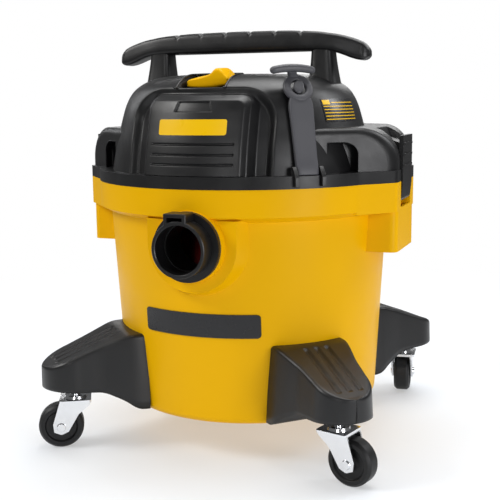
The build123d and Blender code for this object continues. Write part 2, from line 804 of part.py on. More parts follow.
def make_strap():
    side_plane, angle = strap_frame()
    with BuildPart() as outline_form:
        with BuildSketch(facing_plane(angle, 100)) as face_view:
            with BuildLine():
                Polyline(
                    (-12.3, 300), (-12.3, 330), (-15.5, 388), (-15, 402), (-7, 411), (-7, 420),
                    (-25, 417), (-25, 428), (0, 431), (25, 428), (25, 417), (7, 420), (7, 411),
                    (15, 402), (15.5, 388), (12.3, 330), (12.3, 300), close=True,
                )
            make_face()
            fillet([v for v in face_view.vertices() if v.Z > 380], 2.5)
        extrude(amount=100)
    with BuildPart() as strap:
        with BuildSketch(side_plane):
            with BuildLine():
                Polyline(
                    (strap_pivot_radius - 4, strap_pivot_z), (163.8, 336), (158, 360), (151, 385),
                    (143, 402), (141, 412), (142.5, 432), (151.5, 432), (151.5, 419), (148, 410),
                    (150, 402), (155.5, 385), (162, 360), (168, 337),
                    (strap_pivot_radius + 4, strap_pivot_z + 3), close=True,
                )
            make_face()
            with Locations((strap_pivot_radius, strap_pivot_z)):
                Circle(4.6)
        extrude(amount=40, both=True)
        add(outline_form.part, mode=Mode.INTERSECT)
        add(peg_form(2.2), mode=Mode.SUBTRACT)
        with BuildSketch(side_plane):
            with Locations((strap_pivot_radius, strap_pivot_z)):
                Circle(2 + running_gap)
        extrude(amount=40, both=True, mode=Mode.SUBTRACT)
    write(strap.part, "rubber_strap")
    with BuildPart() as strap_bracket:
        for offset in (-15, 15):
            with BuildSketch(side_plane.offset(offset)):
                with BuildLine():
                    Polyline(
                        (168, flange_top), (168, 319), (169.5, 322.5), (173, 322.5), (176.5, 319),
                        (181, flange_top - 1), (181, 302), (flange_radius + 0.1, 302),
                        (flange_radius + 0.1, flange_top), close=True,
                    )
                make_face()
            extrude(amount=2.2, both=True)
        with BuildSketch(side_plane):
            with Locations((strap_pivot_radius, strap_pivot_z)):
                Circle(2)
        extrude(amount=40, both=True, mode=Mode.SUBTRACT)
    write(strap_bracket.part, "strap_bracket")
    with BuildPart() as strap_pin:
        with BuildSketch(side_plane):
            with Locations((strap_pivot_radius, strap_pivot_z)):
                Circle(2)
        extrude(amount=17, both=True)
    write(strap_pin.part, "strap_pin")


def make_rear_fittings():
    with BuildPart() as exhaust_port:
        add(sleeve_y(port_outer_radius, port_bore_radius - 1, 96, 134, 0, exhaust_height))
        add(sleeve_y(port_outer_radius, port_bore_radius, 134, 156, 0, exhaust_height))
    write(exhaust_port.part, "exhaust_port")
    with BuildPart() as cord_gland:
        add(sleeve_y(7, 4.6, 88, 108, -72, 362))
        add(sleeve_y(10, 4.2, 108, 112, -72, 362))
        add(sleeve_y(7, 4.2, 112, 122, -72, 362))
    write(cord_gland.part, "cord_gland")


# motor and filter --------------------------------------------------------------------------------
def exhaust_duct(radius, start, shelf):
    """The duct's form from the impeller housing back to the port, closed at its front above shelf."""
    with BuildPart() as duct:
        add(sleeve_y(radius, 0, 30, 96, 0, exhaust_height))
        with Locations((0, start - 25, shelf + 50)):
            Box(200, 50, 100, mode=Mode.SUBTRACT)
    return duct.part


def make_motor():
    hole = shaft_radius + running_gap
    with BuildPart() as duct_wall:
        add(exhaust_duct(28.5, 50, 345))
        add(sleeve(73, 0, 300, 345), mode=Mode.SUBTRACT)
    with BuildPart() as impeller_housing:
        add(sleeve(74, 71.5, flange_top, 345))
        add(sleeve(74, 11, 342.5, 345))
        add(duct_wall.part)
        add(exhaust_duct(port_bore_radius - 1, 52.5, 342.5), mode=Mode.SUBTRACT)
    write(impeller_housing.part, "impeller_housing")
    with BuildPart() as motor_frame:
        add(sleeve(47, 11, 345, 349))
        add(sleeve(47, 44.2, 345, 396))
        add(sleeve(47, 9, 393, 396))
        for turn in range(4):
            with Locations((0, motor_y, 386)):
                Box(22, 120, 8, rotation=(0, 0, 45 + 90 * turn), mode=Mode.SUBTRACT)
    write(motor_frame.part, "motor_frame")
    write(sleeve(44.2, 27.5, 357, 380), "field_stack")
    write(Compound([sleeve(11, hole, 345, 352), sleeve(9, hole, 393, 399)]), "motor_bearings")
    holders = []
    for side in (-1, 1):
        with BuildPart() as holder:
            with Locations((side * 28.4, motor_y, 386.5)):
                Box(31, 9, 8)
        holders.append(holder.part)
    write(Compound(holders), "brush_holders")
    write(sleeve(shaft_radius, 0, 316, 409), "rotor_shaft")
    write(sleeve(26.5, shaft_radius, 357, 380), "armature")
    write(sleeve(12.5, shaft_radius, 382, 391), "commutator")
    with BuildPart() as cooling_fan:
        add(sleeve(10, shaft_radius, 400, 408))
        for index in range(8):
            with BuildSketch(Plane.XY.offset(400)):
                with Locations(Location((0, motor_y), 45 * index)):
                    with Locations((20, 0)):
                        Rectangle(24, 2)
            extrude(amount=7)
        add(sleeve(33, shaft_radius, 400, 401.2))
    write(cooling_fan.part, "cooling_fan")
    with BuildPart() as impeller:
        add(sleeve(64, shaft_radius, 337, 339))
        add(sleeve(9, shaft_radius, 318, 339))
        add(sleeve(64, 19, 317, 318.5))
        for index in range(9):
            turn = math.radians(40 * index)
            blade_plane = Plane(
                origin=(0, motor_y, 318), x_dir=(math.cos(turn), math.sin(turn), 0), z_dir=(0, 0, 1)
            )
            with BuildSketch(blade_plane):
                with BuildLine():
                    Polyline(
                        (19, 0), (34, 5), (50, 17), (59, 22), (60.5, 20.5), (51, 15.5),
                        (35, 3.5), (20, -1.5), close=True,
                    )
                make_face()
            extrude(amount=19.5)
    write(impeller.part, "impeller")


def make_filter():
    with BuildPart() as filter_cage:
        add(sleeve(cage_radius, cage_radius - 2.5, 175, flange_top - 4))
        add(sleeve(cage_radius, 0, 175, 178))
        add(sleeve(4, 0, 158, 178))
        for index in range(6):
            with Locations(Location((0, motor_y, 236), (0, 0, 30 * index))):
                Box(120, 16, 100, mode=Mode.SUBTRACT)
    write(filter_cage.part, "filter_cage")
    pleats = []
    for index in range(96):
        radius = 65 if index % 2 else 55
        turn = 2 * math.pi * index / 96
        pleats.append((radius * math.cos(turn), motor_y + radius * math.sin(turn)))
    with BuildPart() as cartridge_filter:
        with BuildSketch(Plane.XY.offset(filter_bottom + 4)):
            with BuildLine():
                Polyline(*pleats, close=True)
            make_face()
            with Locations((0, motor_y)):
                Circle(cage_radius + 3.2, mode=Mode.SUBTRACT)
        extrude(amount=296 - filter_bottom - 4)
    write(cartridge_filter.part, "cartridge_filter")
    low_cap = sleeve(filter_radius, cage_radius, filter_bottom, filter_bottom + 4)
    high_cap = sleeve(filter_radius, cage_radius + 0.2, 296, 301)
    write(Compound([low_cap, high_cap]), "filter_end_caps")
    with BuildPart() as filter_retainer:
        add(sleeve(58, 0, filter_bottom - 5, filter_bottom - 0.4))
        with Locations((0, motor_y, filter_bottom - 12)):
            Box(52, 7, 16)
        add(sleeve(shaft_radius + running_gap, 0, 140, 200), mode=Mode.SUBTRACT)
    write(filter_retainer.part, "filter_retainer")
    with BuildPart() as float_ball:
        with Locations((0, motor_y, 178.3 + float_radius)):
            Sphere(float_radius)
            Sphere(float_radius - 1.5, mode=Mode.SUBTRACT)
    write(float_ball.part, "float_ball")


make_tank_shell()
make_inlet()
make_drum_badge()
make_feet()
make_casters()
make_latches()
make_motor_cover()
make_front_panel()
make_lid_base()
make_handle()
make_rocker()
make_strap()
make_rear_fittings()
make_motor()
make_filter()
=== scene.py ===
import json
import math

import bmesh
import bpy
import numpy as np
from mathutils import Matrix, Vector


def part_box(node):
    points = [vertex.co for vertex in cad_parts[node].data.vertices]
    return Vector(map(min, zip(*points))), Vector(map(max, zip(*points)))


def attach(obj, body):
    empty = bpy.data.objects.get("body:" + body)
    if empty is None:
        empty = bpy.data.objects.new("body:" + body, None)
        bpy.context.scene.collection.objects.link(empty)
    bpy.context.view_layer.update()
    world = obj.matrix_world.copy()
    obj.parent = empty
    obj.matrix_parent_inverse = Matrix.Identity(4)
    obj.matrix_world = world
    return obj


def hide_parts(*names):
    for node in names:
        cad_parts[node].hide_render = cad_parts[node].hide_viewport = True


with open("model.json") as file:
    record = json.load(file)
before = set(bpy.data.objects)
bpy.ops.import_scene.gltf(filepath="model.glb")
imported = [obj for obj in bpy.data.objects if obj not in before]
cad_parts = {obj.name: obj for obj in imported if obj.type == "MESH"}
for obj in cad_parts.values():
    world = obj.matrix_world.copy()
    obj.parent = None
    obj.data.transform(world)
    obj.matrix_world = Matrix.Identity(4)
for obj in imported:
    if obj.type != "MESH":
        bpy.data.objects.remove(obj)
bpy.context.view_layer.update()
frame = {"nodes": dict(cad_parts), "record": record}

nodes = frame["nodes"]
corners = ("front_left", "front_right", "rear_right", "rear_left")
cornerAngles = (225, 315, 45, 135)
upwards = np.array([0, 0, 1.0])

# camera, lights and floor

cameraSettings = {
    "distance": 1.1147,  # from the drum's axis
    "azimuth": 21.16,  # towards +X from the front
    "height": 0.3924,
    "tiltDown": 9.29,
    "roll": -0.59,
    "lens": 67.04,
    "sensor": 36.0,
}


def makeCamera():
    turn = math.radians(cameraSettings["azimuth"])
    tilt = math.radians(cameraSettings["tiltDown"])
    roll = math.radians(cameraSettings["roll"])
    ahead = np.array([-math.sin(turn), math.cos(turn), 0.0])
    right = np.array([math.cos(turn), math.sin(turn), 0.0])
    forward = ahead * math.cos(tilt) - np.array([0, 0, math.sin(tilt)])
    up = np.cross(right, forward)
    rolledRight = right * math.cos(roll) + up * math.sin(roll)
    rolledUp = up * math.cos(roll) - right * math.sin(roll)
    place = -ahead * cameraSettings["distance"]
    place[2] = cameraSettings["height"]
    data = bpy.data.cameras.new("studioCamera")
    data.lens = cameraSettings["lens"]
    data.sensor_width = cameraSettings["sensor"]
    camera = bpy.data.objects.new("studioCamera", data)
    camera.matrix_world = axesMatrix(rolledRight, rolledUp, -forward, place)
    bpy.context.scene.collection.objects.link(camera)
    bpy.context.scene.camera = camera


def axesMatrix(first, second, third, place):
    matrix = np.eye(4)
    matrix[:3, 0], matrix[:3, 1], matrix[:3, 2], matrix[:3, 3] = first, second, third, place
    return Matrix(matrix.tolist())


makeCamera()
print("camera placed")

lightAim = 0.2  # the height on the axis that every lamp looks at
lightSettings = {
    # name: (x, y, z, width, height, watts, tint)
    "keyLeft": (-1.6, -1.2, 1.8, 0.9, 0.9, 37, (1.0, 0.99, 0.97)),
    "topSoft": (0.2, 0.3, 2.2, 1.6, 1.6, 42, (1.0, 1.0, 1.0)),
    "backTop": (-0.6, 2.1, 1.3, 2.0, 0.7, 15, (1.0, 1.0, 1.0)),
    "fillFront": (0.5, -2.7, 1.1, 0.5, 0.5, 9, (1.0, 1.0, 1.0)),
    "sideRight": (1.7, -0.95, 0.42, 0.6, 0.75, 15, (0.98, 0.98, 1.0)),
    "rimRight": (1.3, 0.9, 1.3, 0.4, 0.8, 9, (0.97, 0.98, 1.0)),
    "rimLeft": (-1.7, 0.6, 1.2, 0.25, 1.0, 4, (0.97, 0.98, 1.0)),
}


def makeLights():
    for name, (x, y, z, width, height, watts, tint) in lightSettings.items():
        data = bpy.data.lights.new(name, "AREA")
        data.shape = "RECTANGLE"
        data.size = width
        data.size_y = height
        data.energy = watts
        data.color = tint
        lamp = bpy.data.objects.new(name, data)
        away = np.array([x, y, z - lightAim])
        away = away / np.linalg.norm(away)
        side = np.cross(upwards, away)
        side = side / np.linalg.norm(side)
        lamp.matrix_world = axesMatrix(side, np.cross(away, side), away, (x, y, z))
        bpy.context.scene.collection.objects.link(lamp)


worldGlow = 0.13  # strength of the surround that the object reflects


def makeWorld():
    # a white surround behind, and a dimmer one for what the object reflects
    world = bpy.data.worlds.new("studioWorld")
    world.use_nodes = True
    tree = world.node_tree
    dim = tree.nodes["Background"]
    dim.inputs["Color"].default_value = (1, 1, 1, 1)
    dim.inputs["Strength"].default_value = worldGlow
    white = tree.nodes.new("ShaderNodeBackground")
    white.inputs["Color"].default_value = (1, 1, 1, 1)
    rays = tree.nodes.new("ShaderNodeLightPath")
    mix = tree.nodes.new("ShaderNodeMixShader")
    tree.links.new(rays.outputs["Is Camera Ray"], mix.inputs["Fac"])
    tree.links.new(dim.outputs["Background"], mix.inputs[1])
    tree.links.new(white.outputs["Background"], mix.inputs[2])
    tree.links.new(mix.outputs["Shader"], tree.nodes["World Output"].inputs["Surface"])
    bpy.context.scene.world = world
    bpy.context.scene.view_settings.view_transform = "Standard"


floorSettings = {
    "radii": (0.001, 0.3, 0.6, 0.9, 1.2),
    "sides": 64,
    "colour": (0.78, 0.82, 0.87, 1),
    "roughness": 0.7,
    "gloss": 0.2,
    "fadeFrom": 0.25,  # distances from the axis
    "fadeTo": 1.05,
    "whiteNear": 0.40,  # share of plain white before the fade
}


def makeFloor():
    # a flat round sheet, radius and angle on a grid; pale and matt, and plain white further out
    s = floorSettings
    angles = np.linspace(0, 2 * math.pi, s["sides"], endpoint=False)
    r, a = np.meshgrid(np.array(s["radii"]), angles, indexing="ij")
    points = np.stack([r * np.cos(a), r * np.sin(a), np.zeros_like(r)], axis=-1)
    floor = gridPiece("studioFloor", points, closeAcross=True, capStart=True)
    material, tree, shader = newMaterial("paleFloor")
    shader.inputs["Base Color"].default_value = s["colour"]
    shader.inputs["Roughness"].default_value = s["roughness"]
    shader.inputs["Specular IOR Level"].default_value = s["gloss"]
    place = tree.nodes.new("ShaderNodeTexCoord")
    length = tree.nodes.new("ShaderNodeVectorMath")
    length.operation = "LENGTH"
    tree.links.new(place.outputs["Object"], length.inputs[0])
    white = tree.nodes.new("ShaderNodeEmission")
    mix = tree.nodes.new("ShaderNodeMixShader")
    fade = mapped(tree, length.outputs["Value"], s["whiteNear"], 1.0, s["fadeFrom"], s["fadeTo"])
    tree.links.new(fade, mix.inputs["Fac"])
    tree.links.new(shader.outputs["BSDF"], mix.inputs[1])
    tree.links.new(white.outputs["Emission"], mix.inputs[2])
    tree.links.new(mix.outputs["Shader"], tree.nodes["Material Output"].inputs["Surface"])
    floor.data.materials.append(material)


# mesh tools


def gridPiece(name, points, closeAlong=False, closeAcross=False, capStart=False, capEnd=False):
    # points[i, j] runs along i and across j; neighbours make quads, caps are fans round a middle point
    rows, columns = points.shape[:2]
    index = np.arange(rows * columns).reshape(rows, columns)
    here = index if closeAlong else index[:-1]
    nextRow = np.roll(index, -1, axis=0) if closeAlong else index[1:]
    if closeAcross:
        quads = [here, nextRow, np.roll(nextRow, -1, axis=1), np.roll(here, -1, axis=1)]
    else:
        quads = [here[:, :-1], nextRow[:, :-1], nextRow[:, 1:], here[:, 1:]]
    faces = np.stack([q.ravel() for q in quads], axis=1).tolist()
    vertices = points.reshape(-1, 3)
    for wanted, row, turnOver in ((capStart, index[0], False), (capEnd, index[-1], True)):
        if wanted:
            middle = np.full(columns, len(vertices))
            vertices = np.vstack([vertices, vertices[row].mean(axis=0)])
            after = np.roll(row, -1)
            fan = [middle, after, row] if turnOver else [middle, row, after]
            faces += np.stack(fan, axis=1).tolist()
    mesh = bpy.data.meshes.new(name)
    mesh.from_pydata(vertices.tolist(), [], faces)
    mesh.validate()
    turnOutwards(mesh)
    mesh.shade_smooth()
    piece = bpy.data.objects.new(name, mesh)
    bpy.context.scene.collection.objects.link(piece)
    return piece


def turnOutwards(mesh):
    # the signed volume of the fan of each face about the mesh's middle says which way the faces look
    mesh.calc_loop_triangles()
    count = len(mesh.loop_triangles)
    corner = np.empty(count * 3, dtype=np.int32)
    mesh.loop_triangles.foreach_get("vertices", corner)
    place = np.empty(len(mesh.vertices) * 3)
    mesh.vertices.foreach_get("co", place)
    place = place.reshape(-1, 3)
    a, b, c = (place[corner.reshape(-1, 3)[:, k]] - place.mean(axis=0) for k in range(3))
    if np.einsum("ij,ij->i", a, np.cross(b, c)).sum() < 0:
        mesh.flip_normals()


def lookAlong(piece, direction):
    # turns an open sheet over if most of its area faces away from the direction
    mesh = piece.data
    normals = np.empty(len(mesh.polygons) * 3)
    mesh.polygons.foreach_get("normal", normals)
    if (normals.reshape(-1, 3) @ np.array(direction)).sum() < 0:
        mesh.flip_normals()


def dropFaces(piece, unwanted):
    # removes the faces whose middles the test picks
    mesh = piece.data
    centres = np.empty(len(mesh.polygons) * 3)
    mesh.polygons.foreach_get("center", centres)
    picked = np.nonzero(unwanted(*centres.reshape(-1, 3).T))[0].tolist()
    work = bmesh.new()
    work.from_mesh(mesh)
    work.faces.ensure_lookup_table()
    bmesh.ops.delete(work, geom=[work.faces[i] for i in picked], context="FACES")
    work.to_mesh(mesh)
    work.free()


def addModifier(piece, kind, **settings):
    modifier = piece.modifiers.new(kind.lower(), kind)
    for key, value in settings.items():
        setattr(modifier, key, value)


def finishAs(piece, slotName, body, *replaced):
    piece.data.materials.append(materials[slotName])
    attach(piece, body)
    if replaced:
        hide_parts(*replaced)


# materials

skinSettings = {
    "cloudScale": 9.0,
    "handledScale": 38.0,
    "bumpStrength": 0.35,
    "metalRoughScale": 160.0,
    "streakShade": 0.82,
}


def newMaterial(name):
    material = bpy.data.materials.new(name)
    material.use_nodes = True
    tree = material.node_tree
    return material, tree, tree.nodes["Principled BSDF"]


def mixedColour(tree, factor, first, second):
    mix = tree.nodes.new("ShaderNodeMix")
    mix.data_type = "RGBA"
    mix.inputs["A"].default_value = (*first, 1)
    mix.inputs["B"].default_value = (*second, 1)
    tree.links.new(factor, mix.inputs["Factor"])
    return mix.outputs["Result"]


def noiseOn(tree, scale, detail=3.0, roughness=0.5):
    place = tree.nodes.new("ShaderNodeTexCoord")
    noise = tree.nodes.new("ShaderNodeTexNoise")
    noise.inputs["Scale"].default_value = scale
    noise.inputs["Detail"].default_value = detail
    noise.inputs["Roughness"].default_value = roughness
    tree.links.new(place.outputs["Object"], noise.inputs["Vector"])
    return noise.outputs["Fac"]


def mapped(tree, value, low, high, fromLow=0.3, fromHigh=0.7):
    ramp = tree.nodes.new("ShaderNodeMapRange")
    ramp.inputs["From Min"].default_value = fromLow
    ramp.inputs["From Max"].default_value = fromHigh
    ramp.inputs["To Min"].default_value = low
    ramp.inputs["To Max"].default_value = high
    tree.links.new(value, ramp.inputs["Value"])
    return ramp.outputs["Result"]


def mouldedPlastic(name, colour, cloud, rough, grain, grainDepth, gloss=0.35):
    # a moulded skin: slow clouds in the colour, handled patches in the roughness, and a fine grain
    material, tree, shader = newMaterial(name)
    slow = noiseOn(tree, skinSettings["cloudScale"], 4.0)
    tree.links.new(mixedColour(tree, slow, colour, cloud), shader.inputs["Base Color"])
    handled = noiseOn(tree, skinSettings["handledScale"], 5.0, 0.62)
    tree.links.new(mapped(tree, handled, *rough), shader.inputs["Roughness"])
    bump = tree.nodes.new("ShaderNodeBump")
    bump.inputs["Strength"].default_value = skinSettings["bumpStrength"]
    bump.inputs["Distance"].default_value = grainDepth
    tree.links.new(noiseOn(tree, grain, 2.0), bump.inputs["Height"])
    tree.links.new(bump.outputs["Normal"], shader.inputs["Normal"])
    shader.inputs["Specular IOR Level"].default_value = gloss
    return material


def platedMetal(name, colour, rough, streak):
    # bright plating with faint rolling streaks
    material, tree, shader = newMaterial(name)
    shader.inputs["Metallic"].default_value = 1.0
    slow = noiseOn(tree, streak, 4.0)
    darker = [c * skinSettings["streakShade"] for c in colour]
    tree.links.new(mixedColour(tree, slow, colour, darker), shader.inputs["Base Color"])
    patches = noiseOn(tree, skinSettings["metalRoughScale"])
    tree.links.new(mapped(tree, patches, *rough), shader.inputs["Roughness"])
    return material


plasticSettings = {
    # slot: (name, colour, cloud colour, roughness range, grain scale, grain depth, gloss)
    "yellow_plastic": ("yellowDrumPlastic", (0.82, 0.44, 0.0), (0.77, 0.41, 0.0),
                       (0.32, 0.44), 1500, 0.00006, 0.10),
    "black_plastic": ("blackCoverPlastic", (0.0042, 0.0042, 0.0047), (0.0060, 0.0060, 0.0066),
                      (0.33, 0.45), 1300, 0.00012, 0.45),
    "wheel_rubber": ("wheelRubber", (0.0045, 0.0045, 0.005), (0.008, 0.008, 0.008),
                     (0.42, 0.58), 900, 0.0001, 0.35),
    "grey_rubber": ("strapRubber", (0.050, 0.050, 0.058), (0.062, 0.062, 0.070),
                    (0.42, 0.55), 1100, 0.0001, 0.5),
    "seal_foam": ("sealFoam", (0.04, 0.04, 0.04), (0.06, 0.06, 0.06), (0.7, 0.85), 700, 0.0003),
    "inner_plastic": ("innerBlackPlastic", (0.03, 0.03, 0.032), (0.04, 0.04, 0.042),
                      (0.45, 0.6), 900, 0.0001),
    "float_plastic": ("floatPlastic", (0.8, 0.8, 0.8), (0.7, 0.7, 0.7), (0.35, 0.5), 900, 0.0001),
    "filter_paper": ("pleatedPaper", (0.30, 0.015, 0.012), (0.22, 0.01, 0.01), (0.75, 0.9), 700, 0.0004),
    "badge_black": ("drumPlateBlack", (0.012, 0.012, 0.013), (0.018, 0.018, 0.02),
                    (0.22, 0.32), 1500, 0.00004),
    "badge_yellow": ("plateYellow", (0.84, 0.50, 0.0), (0.78, 0.46, 0.0),
                     (0.25, 0.34), 1500, 0.00004, 0.25),
}
metalSettings = {
    # slot: (name, colour, roughness range, streak scale)
    "zinc_plate": ("brightZinc", (0.86, 0.87, 0.89), (0.10, 0.24), 60),
    "steel": ("blackenedSteel", (0.09, 0.09, 0.095), (0.25, 0.4), 90),
    "motor_metal": ("castAluminium", (0.72, 0.72, 0.74), (0.4, 0.55), 40),
    "fan_metal": ("pressedAluminium", (0.78, 0.78, 0.8), (0.28, 0.4), 70),
    "copper": ("commutatorCopper", (0.86, 0.42, 0.24), (0.25, 0.4), 90),
}
materials = {slot: mouldedPlastic(*row) for slot, row in plasticSettings.items()}
materials.update({slot: platedMetal(*row) for slot, row in metalSettings.items()})
slotOf = {s["node"]: s["material_slot"] for s in frame["record"]["subparts"]}

edgeSettings = {"merge": 0.00002, "width": 0.0006, "segments": 2, "sharpAngle": 28, "weight": 50}


def dressNodes():
    # every CAD node gets its finish, merged corners and a small moulded radius on its edges
    for name, piece in nodes.items():
        piece.data.materials.clear()
        piece.data.materials.append(materials[slotOf[name]])
        piece.data.shade_smooth()
        addModifier(piece, "WELD", merge_threshold=edgeSettings["merge"])
        addModifier(piece, "BEVEL", width=edgeSettings["width"], segments=edgeSettings["segments"],
                    limit_method="ANGLE", angle_limit=math.radians(edgeSettings["sharpAngle"]),
                    harden_normals=False)
        addModifier(piece, "WEIGHTED_NORMAL", weight=edgeSettings["weight"], keep_sharp=True)


# shapes


def smoothStep(value, low, high):
    t = np.clip((value - low) / (high - low), 0.0, 1.0)
    return t * t * (3 - 2 * t)


def roundedBoxDistance(x, z, halfWidth, top, corner):
    # distance to the edge of an upright slab with rounded top corners, negative inside
    qx = np.abs(x) - (halfWidth - corner)
    qz = z - (top - corner)
    outside = np.hypot(np.maximum(qx, 0), np.maximum(qz, 0))
    return outside + np.minimum(np.maximum(qx, qz), 0) - corner


def superRound(angle, power):
    # a rounded oblong: cosine and sine with their sizes raised to a power
    c, s = np.cos(angle), np.sin(angle)
    return np.sign(c) * np.abs(c) ** power, np.sign(s) * np.abs(s) ** power


def roundAngles(count):
    return np.linspace(0, 2 * math.pi, count, endpoint=False)


blendReach, blendSteps = 0.006, 9


def curveThrough(points, at):
    # straight interpolation, averaged over a short window either side
    points = np.array(points)
    window = np.linspace(-blendReach, blendReach, blendSteps)
    return np.mean([np.interp(at + w, points[:, 0], points[:, 1]) for w in window], axis=0)


# motor cover: a dome with an arched channel, and two latch shoulders

domeSettings = {
    "axisY": -0.020,
    "profile": [  # radius and height up the dome's side
        (0.1510, 0.3130), (0.1490, 0.3240), (0.1470, 0.3350), (0.1442, 0.3480), (0.1410, 0.3600),
        (0.1378, 0.3720), (0.1340, 0.3840), (0.1298, 0.3930), (0.1240, 0.4010), (0.1150, 0.4080),
        (0.1030, 0.4135), (0.0880, 0.4168), (0.0700, 0.4180), (0.0350, 0.4180), (0.0010, 0.4180),
    ],
    "rows": 190,
    "frontArc": 52,  # degrees either side of the front with fine columns
    "frontStep": 0.45,
    "restStep": 2.56,
    "archFoot": 0.280,
    "archOuter": (0.081, 0.081, 0.4025, 0.036),  # half width low and high, top, corner
    "archInner": (0.0580, 0.0575, 0.3945, 0.012),  # the panel's edge
    "flankWidth": 0.0095,  # the dome ramps up to the panel over this much
    "channelDepth": 0.0086,
    "channelSoftness": (-0.00144, 0.0036),
    "channelFront": (0.040, 0.060),
    "pocketHalf": 0.0275,
    "pocketBack": -0.0855,
    "pocketFloor": 0.4032,
    "pocketSoftness": (-0.0006, 0.0012),
    "wellFront": -0.1235,  # behind this the pocket is deeper, for the rocker's travel
    "wellFloor": 0.3945,
    "wellSoftness": (-0.0002, 0.0014),
    "exhaustHole": 0.0280,
}


def domeSide(count):
    # a smooth curve through the profile: chord length runs evenly along it
    knots = np.array(domeSettings["profile"])
    chord = np.concatenate([[0], np.cumsum(np.linalg.norm(np.diff(knots, axis=0), axis=1))])
    slope = np.gradient(knots, chord, axis=0)
    t = np.linspace(0, chord[-1], count)
    k = np.clip(np.searchsorted(chord, t, side="right") - 1, 0, len(chord) - 2)
    span = (chord[k + 1] - chord[k])[:, None]
    s = ((t - chord[k]) / (chord[k + 1] - chord[k]))[:, None]
    a, b = knots[k], knots[k + 1]
    return ((2 * s**3 - 3 * s**2 + 1) * a + (s**3 - 2 * s**2 + s) * span * slope[k]
            + (3 * s**2 - 2 * s**3) * b + (s**3 - s**2) * span * slope[k + 1])


fineSide = domeSide(400)


def domeRadius(z):
    return np.interp(z, fineSide[:, 1], fineSide[:, 0])


def domeHeight(x, y):
    # height of the dome's top over a point
    side = fineSide[::-1]
    radius = np.hypot(x, y - domeSettings["axisY"])
    return np.interp(radius, side[:, 0], side[:, 1])


def archHalfWidth(z, arch):
    foot = domeSettings["archFoot"]
    return arch[0] + (arch[1] - arch[0]) * (z - foot) / (arch[2] - foot)


def channelMask(x, z):
    outer, inner = domeSettings["archOuter"], domeSettings["archInner"]
    insideOuter = -roundedBoxDistance(x, z, archHalfWidth(z, outer), outer[2], outer[3])
    outsideInner = roundedBoxDistance(x, z, archHalfWidth(z, inner), inner[2], inner[3])
    ramp = np.clip(outsideInner / domeSettings["flankWidth"], 0, 1)
    return smoothStep(insideOuter, *domeSettings["channelSoftness"]) * ramp


def makeDome():
    # a turned profile about the motor's axis; the front is pushed in along its normal in the channel,
    # and the top is pressed down to a flat floor in the rocker's pocket
    s = domeSettings
    side = domeSide(s["rows"])
    along = np.gradient(side, axis=0)
    along = along / np.linalg.norm(along, axis=1)[:, None]
    front = np.radians(np.arange(-s["frontArc"], s["frontArc"], s["frontStep"]))
    rest = np.radians(np.arange(s["frontArc"], 360 - s["frontArc"], s["restStep"]))
    angles = np.concatenate([front, rest])
    radius, a = np.meshgrid(side[:, 0], angles, indexing="ij")
    z = np.repeat(side[:, 1][:, None], len(angles), axis=1)
    x, y = radius * np.sin(a), -radius * np.cos(a)
    mask = channelMask(x, z) * (y < 0) * smoothStep(-y, *s["channelFront"])
    push = -s["channelDepth"] * mask
    radius = radius + along[:, 1:2] * push
    z = z - along[:, 0:1] * push
    x, y = radius * np.sin(a), -radius * np.cos(a) + s["axisY"]
    inside = np.minimum(s["pocketHalf"] - np.abs(x), s["pocketBack"] - y)
    pressed = smoothStep(inside, *s["pocketSoftness"])
    inWell = smoothStep(np.minimum(inside, y - s["wellFront"]), *s["wellSoftness"])
    level = s["pocketFloor"] + (s["wellFloor"] - s["pocketFloor"]) * inWell
    z = np.where(z > level, z + (level - z) * pressed, z)
    dome = gridPiece("motorCoverDome", np.stack([x, y, z], axis=-1), closeAcross=True, capEnd=True)
    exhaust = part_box("exhaust_port")
    centreZ = 0.5 * (exhaust[0][2] + exhaust[1][2])
    dropFaces(dome, lambda fx, fy, fz: (fy > 0) & (np.hypot(fx, fz - centreZ) < s["exhaustHole"]))
    finishAs(dome, "black_plastic", "powerhead", "motor_cover")


shoulderSettings = {
    "flatFrom": 0.112,
    "arcCentre": (0.149, 0.321),
    "arcRadius": 0.039,
    "arcSteps": 44,
    "flatSteps": 13,
    "footSteps": 5,
    "foot": 0.3130,
    "outerHalf": 0.043,  # half width at the outer face
    "outerX": 0.188,
    "flare": 0.87,  # how fast the half width grows inwards
    "edgeRadius": 0.009,
    "edgeSteps": 12,
    "slotHalf": 0.0255,
    "slotInner": 0.0235,
    "slotSteps": 10,
    "slotEdge": (-0.0010, -0.0004, 0.0001, 0.0006, 0.0014),  # close columns either side of the slot's edge
    "slotSoftness": 0.0003,
    "slotX": 0.1775,
    "rampFoot": 0.326,
    "rampSlope": 62.0,
    "spreadSteps": 12,
    "endColumns": 120,
    "endRows": 70,
    "window": (0.1260, 0.1520, 0.3132, 0.3445),  # x and height ranges of the recess in each end face
    "windowCorner": 0.013,
    "windowDepth": 0.016,
    "windowSoftness": (-0.0004, 0.0012),
}


def slotLimit(z):
    run = math.tan(math.radians(shoulderSettings["rampSlope"]))
    return shoulderSettings["slotX"] - np.maximum(z - shoulderSettings["rampFoot"], 0) / run


def shoulderHalf(x):
    s = shoulderSettings
    return s["outerHalf"] + s["flare"] * (s["outerX"] - x)


def shoulderTop(x, inset):
    # height of the quarter-round outline at x, drawn in by inset
    s = shoulderSettings
    radius = s["arcRadius"] - inset
    run = np.clip(x - s["arcCentre"][0], 0, radius)
    return s["arcCentre"][1] + np.sqrt(np.maximum(radius**2 - run**2, 0))


